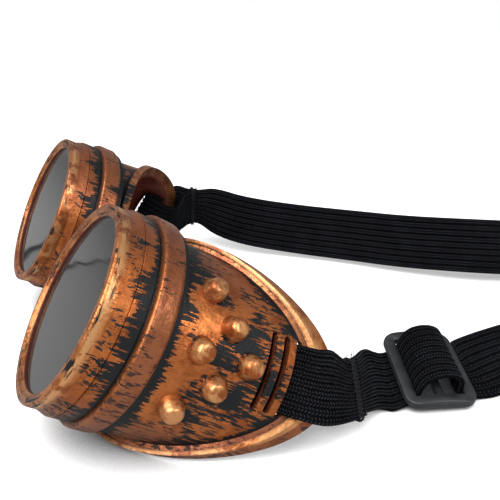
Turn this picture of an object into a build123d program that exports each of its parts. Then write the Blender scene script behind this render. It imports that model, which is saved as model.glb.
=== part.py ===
from build123d import *
import math
import os

os.makedirs("parts", exist_ok=True)

# All lengths are millimetres and all angles are degrees.
# A cup's own frame has its origin at the centre of the ring's front lip.
# In it x points to the temple, y along the slots to the cheek and z back to the face.

# Screw ring that holds the lens
ring_lip_r = 29.8
ring_skirt_r = 30.9
ring_length = 11.6
ring_wall = 1.7
ring_opening_r = 26.3
bezel_depth = 1.8
bezel_slope = 1.2
lip_round = 0.9
lip_land = 3.2
ring_line_depth = 0.35
ring_line_width = 0.5
ring_line_z = 7.2

# Thread that the ring turns on, drawn as a plain running fit
thread_gap = 0.1

# Lens and its seal
lens_t = 2.0
lens_gap = 0.3
gasket_t = 1.0
gasket_margin = 0.3

# Neck and collar of the cup
neck_wall = 2.5
root_r = 30.3
root_gap = 0.4
collar_gap = 1.0
collar_r = 32.3
collar_w = 6.8
collar_round = 1.2
step_r = 31.2
step_w = 1.4

# Cup wall, a cone that leans towards the temple and stands a little towards the cheek
wall_t = 2.0
wall_front_z = 16.0
wall_front_r = 29.9
wall_rear_r = 30.1
wall_depth = 54.0
wall_shift = 6.1
wall_front_drop = 1.4
wall_rear_drop = 0.3
wall_spare = 12.0

# Rim that follows the face
nose_rim_z = 24.0
temple_rim_z = 69.3
rim_nose_x = 30.0
rim_temple_x = 38.0
rim_power = 2.25
flange_w = 2.6
flange_t = 1.8
bead_w = 1.1
bead_h = 0.8

# Slots in the temple side, set back from the rim
slot_setback = 10.8
slot_pitch = 4.3
slot_count = 3
slot_w = 2.0
slot_length = 22.0

# Studs moulded on the wall, in rows that narrow towards the slots
stud_r = 4.1
stud_tip_r = 2.5
stud_h = 4.2
stud_round = 1.6
stud_sunk = 0.9
stud_row_z = 29.2
stud_row_pitch = 7.4
stud_side_pitch = 15.9
stud_rows = 3

# Lug for the nose bridge
lug_reach = 5.0
lug_w = 18.0
lug_round = 3.0
lug_slot_w = 2.2
lug_slot_length = 13.4
lug_edge = 2.0

# Nose bridge
bridge_w = 12.0
bridge_t = 1.2
bridge_bow = 3.2
knob_t = 3.6
knob_h = 2.4
fold_back = 18.0
soft_gap = 0.4

# Strap
strap_w = 25.0
strap_slot_w = 20.0
strap_buckle_w = 22.6
strap_entry = -0.2
buckle_side_step = -3.0
turn_w = 20.0
turn_out = 68.6
turn_back = 87.4
turn_height = 7.66
turn_side = (-0.665, -0.02, 0.747)
loop_w = 21.4
strap_t = 1.3
layer_gap = 0.3
tail_past = 2.6
pinch_back = 20.2
pinch_out = 3.9
left_pinch_lift = 2.2
right_pinch_lift = 9.0
edge_gap = 1.3
bulge = 6.0

# How far the strap has turned at places between its slot and its stitches
mouth_turn_share = 0.15
bend_turn_share = 0.5
edge_turn_share = 0.75
inner_turn_share = 0.1
rear_turn_share = 0.4

# Thread stitched round both layers
stitch_t = 0.5
stitch_length = 1.6
stitch_gap = 0.35

# Slide buckle, and the slack of the strap that stands over its middle bar
buckle_w = 24.0
buckle_h = 31.0
buckle_t = 2.4
side_bar_w = 4.0
middle_bar_w = 3.0
rail_w = 3.6
rail_arch = 1.2
buckle_round = 2.4
bar_gap = 0.4
hump_h = 8.6
hump_w = 9.4
shoulder_w_share = 0.9
shoulder_h_share = 0.6
crown_w_share = 0.55
crown_h_share = 0.92

# How the goggles lie: each cup leans back on the underside of its rim
lip_spacing = 80.32
left_lip_height = 42.14
right_lip_height = 43.4
lip_stagger = 0.22
left_lean_angle = 34.65
left_roll_angle = 23.35
left_toe_angle = -2.3
right_lean_angle = 28.67
right_roll_angle = 12.1
right_toe_angle = -1.8

# How the strap lies behind them, on the floor: the buckle lies flat, with its face up
floor_height = -0.64
loop_half = 88.0
loop_depth = 252.0
buckle_out = 69.6
buckle_back = 109.5
buckle_height = 5.46
buckle_n = (0.242, -0.045, 0.969)
buckle_v = (-0.918, 0.313, 0.243)

cut_spare = 5.0

# Places along the strap behind the buckle, as shares of the loop's half width, its depth and
# the strap's width, and the angle by which its upper edge leans out of the loop
back_shares = [
    (0.835, 0.502, 0.0, -75),
    (0.822, 0.556, 0, -75),
    (0.835, 0.627, 0, -72),
    (0.881, 0.706, 0, -64),
    (0.932, 0.782, 0, -50),
    (0.955, 0.849, 0, -34),
    (0.915, 0.917, 0, -18),
    (0.807, 0.968, 0, -6),
    (0.66, 0.994, 0, 2),
    (0.53, 0.985, 0, 6),
    (0.45, 0.948, 0.03, 11),
    (0.385, 0.895, 0.08, 16),
    (0.325, 0.835, 0.15, 21),
    (0.25, 0.765, 0.21, 24),
    (0.135, 0.702, 0.2, 22),
    (-0.055, 0.625, 0.14, 18),
    (-0.27, 0.555, 0.1, 15),
    (-0.466, 0.47, 0.12, 13),
    (-0.636, 0.383, 0.22, 11),
    (-0.778, 0.339, 0.33, 8),
]


def cup_frame(side, height, stagger, lean, roll, toe):
    lean, roll, toe = (math.radians(a) for a in (lean, roll, toe))
    level = Vector(0, math.cos(lean), -math.sin(lean))
    up = Vector(0, math.sin(lean), math.cos(lean))
    across = Vector(side, 0, 0)
    back = level * math.cos(toe) - across * math.sin(toe)
    out = across * math.cos(toe) + level * math.sin(toe)
    temple = out * math.cos(roll) + up * math.sin(roll)
    centre = Vector(side * lip_spacing / 2, stagger, height)
    return Plane(origin=centre, x_dir=temple, z_dir=back)


left_frame = cup_frame(
    1, left_lip_height, -lip_stagger / 2, left_lean_angle, left_roll_angle, left_toe_angle
)
right_frame = cup_frame(
    -1, right_lip_height, lip_stagger / 2, right_lean_angle, right_roll_angle, right_toe_angle
)


# Sizes that follow from the ones above
ring_bore_r = ring_lip_r - ring_wall
neck_r = ring_bore_r - thread_gap
neck_bore_r = neck_r - neck_wall
lens_r = ring_bore_r - lens_gap
lens_z = bezel_depth
gasket_z = lens_z + lens_t
neck_z = gasket_z + gasket_t
slot_z = temple_rim_z - slot_setback
collar_z = ring_length + collar_gap
step_z = collar_z + collar_w


def wall_share(z):
    return (z - wall_front_z) / wall_depth


def wall_radius(z):
    return wall_front_r + (wall_rear_r - wall_front_r) * wall_share(z)


def wall_centre(z):
    return wall_shift * wall_share(z)


def wall_low(z):
    return wall_front_drop + (wall_rear_drop - wall_front_drop) * wall_share(z)


def rim_z(x):
    share = max(x + rim_nose_x, 0) / (rim_nose_x + rim_temple_x)
    return nose_rim_z + (temple_rim_z - nose_rim_z) * share**rim_power


def rim_slope(x):
    span = rim_nose_x + rim_temple_x
    share = max(x + rim_nose_x, 0) / span
    return (temple_rim_z - nose_rim_z) * rim_power * share ** (rim_power - 1) / span


def cone(grow, z0, z1):
    rings = []
    for z in (z0, z1):
        rings.append(Pos(wall_centre(z), wall_low(z), z) * Circle(wall_radius(z) + grow))
    return loft(rings, ruled=True)


def below_rim(sunk):
    # Everything in front of the rim's curve, which is moved forward along its normal by sunk
    reach = wall_rear_r + wall_shift + flange_w + cut_spare
    points = []
    steps = 8
    for i in range(steps + 1):
        x = -rim_nose_x + (reach + rim_nose_x) * i / steps
        norm = math.hypot(rim_slope(x), 1)
        points.append((x + sunk * rim_slope(x) / norm, rim_z(x) - sunk / norm))
    curve = Spline(*points, tangents=((1, 0), (1, rim_slope(reach))))
    start = (-reach - cut_spare, nose_rim_z - sunk)
    outline = [Line(start, points[0]), curve]
    outline.append(Polyline(points[-1], (points[-1][0], 0), (start[0], 0), start))
    return extrude(Plane.XZ * make_face(outline), amount=reach, both=True)


def disc(radius, z0, z1):
    return Pos(0, 0, (z0 + z1) / 2) * Cylinder(radius, z1 - z0)


def rim_top():
    return temple_rim_z + wall_spare


def make_rim():
    outer = cone(flange_w, wall_front_z, rim_top())
    flange = outer & (below_rim(0) - below_rim(flange_t))
    edge = outer - cone(flange_w - bead_w, wall_front_z, rim_top())
    return flange + (edge & (below_rim(0) - below_rim(flange_t + bead_h)))


def make_collar():
    collar = disc(collar_r, collar_z, step_z)
    collar = fillet(collar.edges().filter_by(GeomType.CIRCLE), collar_round)
    neck = disc(neck_r, neck_z, collar_z + collar_w / 2)
    root = disc(root_r, ring_length + root_gap, collar_z + collar_w / 2)
    return neck + root + collar + disc(step_r, step_z - collar_w / 2, step_z + step_w)


def make_studs():
    # Rows of three, two and one
    studs = []
    for row in range(stud_rows):
        z = stud_row_z + row * stud_row_pitch
        count = stud_rows - row
        for i in range(count):
            y = (i - (count - 1) / 2) * stud_side_pitch
            x = math.sqrt(wall_radius(z) ** 2 - y**2)
            plane = Plane(origin=(wall_centre(z) + x, wall_low(z) + y, z), z_dir=(x, y, 0))
            stud = Cone(stud_r, stud_tip_r, stud_h + stud_sunk)
            stud = fillet(stud.edges().sort_by(Axis.Z)[-1], stud_round)
            studs.append(plane * Pos(0, 0, (stud_h - stud_sunk) / 2) * stud)
    return studs


def make_lug():
    inner_x = wall_centre(nose_rim_z) - wall_radius(nose_rim_z)
    plate = Rectangle(lug_x - inner_x, lug_w)
    plate = fillet(plate.vertices().group_by(Axis.X)[0], lug_round)
    plate = Pos((lug_x + inner_x) / 2, 0, nose_rim_z - flange_t) * plate
    return extrude(plate, amount=flange_t)


def make_lug_slot():
    slot = Rectangle(lug_slot_w, lug_slot_length)
    plate = Pos(lug_slot_x, 0, nose_rim_z - flange_t - cut_spare) * slot
    return extrude(plate, amount=flange_t + 2 * cut_spare)


def make_slots():
    slots = []
    for i in range(slot_count):
        plane = Plane.YZ * Pos(0, slot_z - i * slot_pitch)
        slots.append(extrude(plane * SlotOverall(slot_length, slot_w), amount=rim_top()))
    return slots


def make_cup():
    shell = cone(0, wall_front_z, rim_top()) & below_rim(0)
    cup = shell + make_rim() + make_lug() + make_collar() + make_studs()
    cup -= cone(-wall_t, wall_front_z, rim_top())
    cup -= disc(neck_bore_r, 0, wall_front_z)
    cup -= [make_lug_slot(), *make_slots()]
    return cup


def make_ring():
    land_z = lip_round + lip_land
    crest_r = ring_lip_r - lip_round
    line_start = ring_line_z - ring_line_width / 2
    line_end = ring_line_z + ring_line_width / 2
    corner = RadiusArc((crest_r, 0), (ring_lip_r, lip_round), -lip_round)
    outline = Polyline(
        (ring_lip_r, lip_round),
        (ring_lip_r, land_z),
        (ring_skirt_r, line_start),
        (ring_skirt_r - ring_line_depth, ring_line_z),
        (ring_skirt_r, line_end),
        (ring_skirt_r, ring_length),
        (ring_bore_r, ring_length),
        (ring_bore_r, bezel_depth),
        (ring_opening_r, bezel_depth),
        (ring_opening_r, bezel_slope),
        (ring_bore_r - lip_round / 2, 0),
        (crest_r, 0),
    )
    return revolve(Plane.XZ * make_face([corner, outline]), Axis.Z)


def make_lens():
    return disc(lens_r, lens_z, lens_z + lens_t)


def make_gasket():
    return disc(neck_r - gasket_margin, gasket_z, neck_z) - disc(neck_bore_r, gasket_z, neck_z)


def at(frame, x, y, z):
    return frame.origin + frame.x_dir * x + frame.y_dir * y + frame.z_dir * z


def ribbon(stations, thickness):
    # A station is its centre, the direction of its width and the width
    rings = []
    last = len(stations) - 1
    for i, (centre, side, width) in enumerate(stations):
        before = (centre - stations[i - 1][0]).normalized() if i else None
        after = (stations[i + 1][0] - centre).normalized() if i < last else None
        along = (before or after) + (after or before)
        turn = math.radians(before.get_angle(after)) / 2 if before and after else 0
        face = along.cross(side).normalized() * (thickness / 2 / math.cos(turn))
        edge = side.normalized() * (width / 2)
        upper, lower = centre + edge, centre - edge
        rings.append([upper + face, upper - face, lower - face, lower + face])
    faces = [polygon(rings[0]), polygon(rings[-1])]
    for one, two in zip(rings, rings[1:]):
        for i in range(len(one)):
            j = (i + 1) % len(one)
            faces += [polygon([one[i], one[j], two[j]]), polygon([one[i], two[j], two[i]])]
    return Solid(Shell(faces))


def polygon(points):
    return Face(Wire.make_polygon(points, close=True))


def up_of(frame):
    return frame.y_dir * (1 if frame.y_dir.Z > 0 else -1)


def bridge_half(frame):
    # From the knob behind the lug, through its slot and out to the front
    front = nose_rim_z - flange_t
    path = [
        (0, nose_rim_z + soft_gap + knob_h / 2),
        (0, front - bridge_t / 2),
        (bridge_t, front - 2 * bridge_t),
        (3 * bridge_t, front - 3 * bridge_t),
    ]
    return [(at(frame, lug_slot_x - x, 0, z), up_of(frame), bridge_w) for x, z in path]


def make_bridge():
    left = bridge_half(left_frame)
    right = bridge_half(right_frame)
    middle = (left[-1][0] + right[-1][0]) / 2 - middle_back * bridge_bow
    stations = left + [(middle, middle_up, bridge_w)] + right[::-1]
    bridge = ribbon(stations, bridge_t)
    for frame in (left_frame, right_frame):
        knob = Pos(lug_slot_x, 0, nose_rim_z + soft_gap + knob_h / 2) * Box(knob_t, bridge_w, knob_h)
        bridge += frame * knob
    return bridge


def pinch_frame(frame, lift, lean):
    # Where both layers are sewn together: x points out, z along the strap, away from the cup
    lean = math.radians(lean)
    centre = at(frame, slot_x + pinch_out, 0, slot_z + pinch_back) + up_of(frame) * lift
    along = frame.z_dir * math.cos(lean) + up_of(frame) * math.sin(lean)
    return Plane(origin=centre, x_dir=frame.x_dir, z_dir=along)


def slot_loop(frame, pinch):
    # From the tail's end to the stitches, in through the slot, round the rim and out again.
    # The last value of each place is how far the strap has turned from the slot to the stitches.
    half = (strap_t + layer_gap) / 2
    inner_x = slot_x - wall_t
    up = up_of(frame)
    lift = (pinch.origin - frame.origin).dot(up)
    pinch_up = up_of(pinch)
    gather = strap_slot_w

    def loose(x, z, share, width=gather):
        side = up * (1 - share) + pinch_up * share
        return (at(frame, x, 0, z) + up * lift * share, side, width)

    def sewn(x, z):
        return (at(pinch, x, 0, z), pinch_up, gather)

    return [
        sewn(half, tail_past),
        sewn(half, -stitch_length),
        loose(edge_x + edge_gap, edge_z, edge_turn_share, loop_w),
        loose(edge_x + edge_gap, edge_z - 3 * strap_t, bend_turn_share, loop_w),
        loose(slot_x + 3 * strap_t, slot_z + 3 * strap_t, mouth_turn_share),
        loose(slot_x + strap_t, slot_z, 0),
        loose(inner_x - 2 * strap_t, slot_z, 0),
        loose(inner_x - bulge, slot_z - 2 * strap_t, 0),
        loose(inner_x - 2 * bulge, slot_z - strap_t, 0),
        loose(inner_x - 2 * bulge, slot_z + 4 * strap_t, inner_turn_share),
        loose(inner_x - bulge, slot_z + 9 * strap_t, rear_turn_share),
        sewn(-half - 3 * strap_t, -5 * strap_t),
        sewn(-half, -stitch_length),
        sewn(-half, tail_past + strap_t),
    ]


def buckle_run():
    # The strap passes inside one side bar, over the middle bar in a loose hump and inside the other
    low = -(buckle_t + strap_t) / 2 - bar_gap
    inner = buckle_w / 2 - side_bar_w
    outer = buckle_w / 2
    half = hump_w / 2
    rise = [
        (outer + 2 * strap_t, low),
        (inner - strap_t / 4, low),
        (half + strap_t / 2, -buckle_t / 2),
        (half, buckle_t),
        (half * shoulder_w_share, hump_h * shoulder_h_share),
        (half * crown_w_share, hump_h * crown_h_share),
    ]
    path = [(-u, n, strap_entry) for u, n in rise] + [(0, hump_h, 0)] + [(u, n, 0) for u, n in rise[::-1]]
    run = [(at(buckle_frame, u, v, n), buckle_frame.y_dir, strap_buckle_w) for u, n, v in path]
    run[0] = (run[0][0] + buckle_frame.y_dir * buckle_side_step, buckle_frame.y_dir, strap_w)
    turn = (Vector(turn_out, turn_back, turn_height), Vector(*turn_side), turn_w)
    return [turn] + run


def back_run():
    spots = [Vector(loop_half * x, loop_depth * y) for x, y, lift, lean in back_shares]
    run = []
    for i, (x, y, lift, lean) in enumerate(back_shares):
        along = spots[min(i + 1, len(spots) - 1)] - spots[max(i - 1, 0)]
        lean = math.radians(lean)
        side = along.cross(Vector(0, 0, 1)).normalized() * math.sin(lean)
        side += Vector(0, 0, math.cos(lean))
        height = (strap_w * math.cos(lean) + strap_t * abs(math.sin(lean))) / 2 + strap_w * lift
        run.append((spots[i] + Vector(0, 0, floor_height + height), side, strap_w))
    return run


def make_strap():
    left = slot_loop(left_frame, left_pinch)
    right = slot_loop(right_frame, right_pinch)
    return ribbon(left + buckle_run() + back_run() + right[::-1], strap_t)


def make_stitch(pinch):
    inside_x = 2 * strap_t + layer_gap + 2 * stitch_gap
    inside_y = strap_slot_w + 2 * stitch_gap
    band = Box(inside_x + 2 * stitch_t, inside_y + 2 * stitch_t, stitch_length)
    return pinch * (band - Box(inside_x, inside_y, stitch_length))


def make_buckle():
    body = Box(buckle_w, buckle_h, buckle_t)
    body = fillet(body.edges().filter_by(Axis.Z), buckle_round)
    window_w = (buckle_w - middle_bar_w) / 2 - side_bar_w
    window_h = buckle_h - 2 * rail_w
    half = (buckle_w - side_bar_w) / 2
    arch = ThreePointArc((-half, 0), (0, rail_arch), (half, 0))
    arch_face = Plane.XZ * make_face([arch, Line((half, 0), (-half, 0))])
    for side in (-1, 1):
        body -= Pos(side * (window_w + middle_bar_w) / 2) * Box(window_w, window_h, buckle_t)
        rail = extrude(arch_face, amount=rail_w / 2, both=True)
        body += Pos(0, side * (buckle_h - rail_w) / 2, buckle_t / 2) * rail
    return body


lug_x = wall_centre(nose_rim_z) - wall_radius(nose_rim_z) - flange_w - lug_reach
lug_slot_x = lug_x + lug_edge + lug_slot_w / 2
slot_x = wall_centre(slot_z) + wall_radius(slot_z)
edge_x = wall_centre(temple_rim_z) + wall_radius(temple_rim_z) + flange_w
edge_z = rim_z(edge_x)
middle_up = (up_of(left_frame) + up_of(right_frame)).normalized()
middle_back = (left_frame.z_dir + right_frame.z_dir).normalized()
left_pinch = pinch_frame(left_frame, left_pinch_lift, left_lean_angle)
right_pinch = pinch_frame(right_frame, right_pinch_lift, right_lean_angle)
buckle_centre = Vector(buckle_out, buckle_back, buckle_height)
buckle_frame = Plane(
    origin=buckle_centre, x_dir=Vector(*buckle_v).cross(Vector(*buckle_n)), z_dir=buckle_n
)

cup = make_cup()
ring = make_ring()
lens = make_lens()
gasket = make_gasket()
nodes = {}
for name, frame in (("left", left_frame), ("right", right_frame)):
    # The cheek side of each cup is the lower one, so the right cup is the left one mirrored
    nodes[name + "_cup"] = frame * (cup if frame.y_dir.Z < 0 else mirror(cup, about=Plane.XZ))
    nodes[name + "_lens_ring"] = frame * ring
    nodes[name + "_lens"] = frame * lens
    nodes[name + "_lens_gasket"] = frame * gasket
nodes["nose_bridge"] = make_bridge()
nodes["strap"] = make_strap()
nodes["left_strap_stitch"] = make_stitch(left_pinch)
nodes["right_strap_stitch"] = make_stitch(right_pinch)
nodes["buckle"] = buckle_frame * make_buckle()

box = Compound(children=[Compound(n.solids()) for n in nodes.values()]).bounding_box()
shift = Vector(-box.center().X, -box.center().Y, -box.min.Z)
print("shift", shift)
for name, node in nodes.items():
    solid = Pos(shift) * node
    print(name, len(solid.solids()), "volume", round(solid.volume))
    export_step(solid, f"parts/{name}.step")

for name, frame in (("left", left_frame), ("right", right_frame)):
    print(name, "cup axis point", frame.origin + shift, "forward", -frame.z_dir)
fold_centre = Vector(0, 0, (left_lip_height + right_lip_height) / 2) + middle_back * fold_back
print("nose fold", fold_centre + shift, "axis", middle_up)
print("buckle", buckle_centre + shift, "slides along", buckle_frame.x_dir)
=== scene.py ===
import math

import bmesh
import bpy
import numpy as np
from mathutils import Matrix, Vector


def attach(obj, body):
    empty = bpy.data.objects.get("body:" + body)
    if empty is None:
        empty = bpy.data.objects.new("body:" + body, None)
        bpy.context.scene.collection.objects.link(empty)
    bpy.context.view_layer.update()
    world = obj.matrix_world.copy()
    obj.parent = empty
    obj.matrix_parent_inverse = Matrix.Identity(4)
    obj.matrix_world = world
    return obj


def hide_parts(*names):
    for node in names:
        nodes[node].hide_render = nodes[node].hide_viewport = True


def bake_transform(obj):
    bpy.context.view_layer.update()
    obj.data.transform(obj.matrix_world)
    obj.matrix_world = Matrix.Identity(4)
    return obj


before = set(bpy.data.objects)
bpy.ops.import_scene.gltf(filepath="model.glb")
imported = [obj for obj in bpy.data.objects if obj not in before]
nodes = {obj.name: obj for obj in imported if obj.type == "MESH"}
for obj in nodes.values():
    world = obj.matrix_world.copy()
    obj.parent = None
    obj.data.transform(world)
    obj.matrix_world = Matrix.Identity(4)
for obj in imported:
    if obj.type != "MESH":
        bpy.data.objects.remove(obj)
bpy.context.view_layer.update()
print("frame loaded,", len(nodes), "nodes")

mm = 0.001
cornerCut = 0.25
leastLength = 1e-12

# The camera is solved from the two lens rings and the floor, in millimetres
photoView = {
    "nearest": 10.0,
    "place": (177.637, -124.188, 115.86),
    "aim": (-0.8349, 0.3749, -0.4030),
    "lens": 38.66,
    "sensor": 36.0,
}


def addCamera(view):
    data = bpy.data.cameras.new("photoCamera")
    data.lens = view["lens"]
    data.sensor_width = view["sensor"]
    data.clip_start = view["nearest"] * mm
    camera = bpy.data.objects.new("photoCamera", data)
    camera.location = Vector(view["place"]) * mm
    camera.rotation_euler = Vector(view["aim"]).to_track_quat("-Z", "Y").to_euler()
    bpy.context.scene.collection.objects.link(camera)
    bpy.context.scene.camera = camera


addCamera(photoView)
print("camera placed")


def mathMethod(operation, swapped=False):
    def act(self, other):
        return self.work(operation, *((other, self) if swapped else (self, other)))

    return act


class Wire:  # one output of a node, whose arithmetic adds nodes to its tree
    def __init__(self, tree, socket):
        self.tree = tree
        self.socket = socket

    def work(self, operation, *values):
        return self.tree.node("ShaderNodeMath", {"operation": operation}, dict(enumerate(values)))

    __add__ = __radd__ = mathMethod("ADD")
    __sub__ = mathMethod("SUBTRACT")
    __rsub__ = mathMethod("SUBTRACT", swapped=True)
    __mul__ = __rmul__ = mathMethod("MULTIPLY")
    __truediv__ = mathMethod("DIVIDE")
    __pow__ = mathMethod("POWER")
    most = mathMethod("MAXIMUM")
    least = mathMethod("MINIMUM")

    def clamped(self):
        return self.tree.node("ShaderNodeClamp", {}, {"Value": self})

    def between(self, low, high):  # 0 below low, 1 above high, smooth in between
        settings = {"interpolation_type": "SMOOTHSTEP"}
        return self.tree.node("ShaderNodeMapRange", settings, {"Value": self, 1: low, 2: high})

    def near(self, middle, inner, outer):  # 1 within inner of the middle, 0 past outer
        return 1 - (self - middle).work("ABSOLUTE").between(inner, outer)


class Tree:  # a node tree while it is being made
    def __init__(self, nodeTree):
        self.nodeTree = nodeTree
        nodeTree.nodes.clear()

    def node(self, kind, settings, inputs, output=0):
        made = self.nodeTree.nodes.new(kind)
        for key, value in settings.items():
            setattr(made, key, value)
        for key, value in inputs.items():
            for one in value if isinstance(value, list) else [value]:
                if isinstance(one, Wire):
                    self.nodeTree.links.new(one.socket, made.inputs[key])
                else:
                    made.inputs[key].default_value = one
        return Wire(self, made.outputs[output]) if len(made.outputs) else None

    def outputs(self, kind, inputs):  # every output of a new node, by name
        made = self.node(kind, {}, inputs).socket.node
        return {socket.name: Wire(self, socket) for socket in made.outputs}

    def combined(self, x, y, z=0.0):
        return self.node("ShaderNodeCombineXYZ", {}, {0: x, 1: y, 2: z})


class Finish(Tree):  # a material while it is being made
    def __init__(self, name):
        self.material = bpy.data.materials.new(name)
        self.material.use_nodes = True
        super().__init__(self.material.node_tree)

    def objectPlace(self):
        return self.node("ShaderNodeTexCoord", {}, {}, "Object")

    def stretched(self, vector, scale, shift):
        inputs = {"Vector": vector, "Location": shift, "Scale": scale}
        return self.node("ShaderNodeMapping", {}, inputs)

    def measured(self, operation, first, second=(0, 0, 0)):  # one number from two vectors
        inputs = {0: first, 1: second}
        return self.node("ShaderNodeVectorMath", {"operation": operation}, inputs, "Value")

    def noise(self, vector, scale, detail, roughness=0.55):
        inputs = {"Vector": vector, "Scale": scale, "Detail": detail, "Roughness": roughness}
        return self.node("ShaderNodeTexNoise", {}, inputs)

    def mixed(self, factor, first, second):
        first, second = (c if isinstance(c, Wire) else (*c, 1.0) for c in (first, second))
        return self.node("ShaderNodeMix", {"data_type": "RGBA"}, {0: factor, 6: first, 7: second}, 2)

    def bump(self, height, strength, distance):
        inputs = {"Height": height, "Strength": strength, "Distance": distance}
        return self.node("ShaderNodeBump", {}, inputs)

    def done(self, inputs):
        shader = self.node("ShaderNodeBsdfPrincipled", {}, inputs)
        self.node("ShaderNodeOutputMaterial", {}, {"Surface": shader})
        return self.material


def newObject(name, mesh, material=None):
    made = bpy.data.objects.new(name, mesh)
    bpy.context.scene.collection.objects.link(made)
    if material:
        mesh.materials.clear()
        mesh.materials.append(material)
    return made


def meshFrom(name, points, faces, smooth=True):
    mesh = bpy.data.meshes.new(name)
    mesh.from_pydata([tuple(p) for p in points], [], [tuple(f) for f in faces])
    shell = bmesh.new()
    shell.from_mesh(mesh)
    bmesh.ops.recalc_face_normals(shell, faces=shell.faces)
    shell.to_mesh(mesh)
    shell.free()
    if smooth:
        mesh.shade_smooth()
    return mesh


# How each cup lies: the centre of its lip, in millimetres, and the ways to the temple and to the
# face. The cheek says which way its own y axis points, and the seed shifts its brush marks
cups = {
    "left": {"place": (35.895, -117.545, 42.804), "temple": (0.917361, 0.195037, 0.347000),
             "back": (0.040132, 0.821978, -0.568104), "cheek": 1, "seed": 0.0},
    "right": {"place": (-44.425, -117.325, 44.064), "temple": (-0.977301, 0.073620, 0.198654),
              "back": (-0.031411, 0.876965, -0.479527), "cheek": -1, "seed": 37.0},
}


def cupTurn(cup):
    temple, back = Vector(cup["temple"]), Vector(cup["back"])
    return Matrix((temple, back.cross(temple), back)).transposed()


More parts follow.
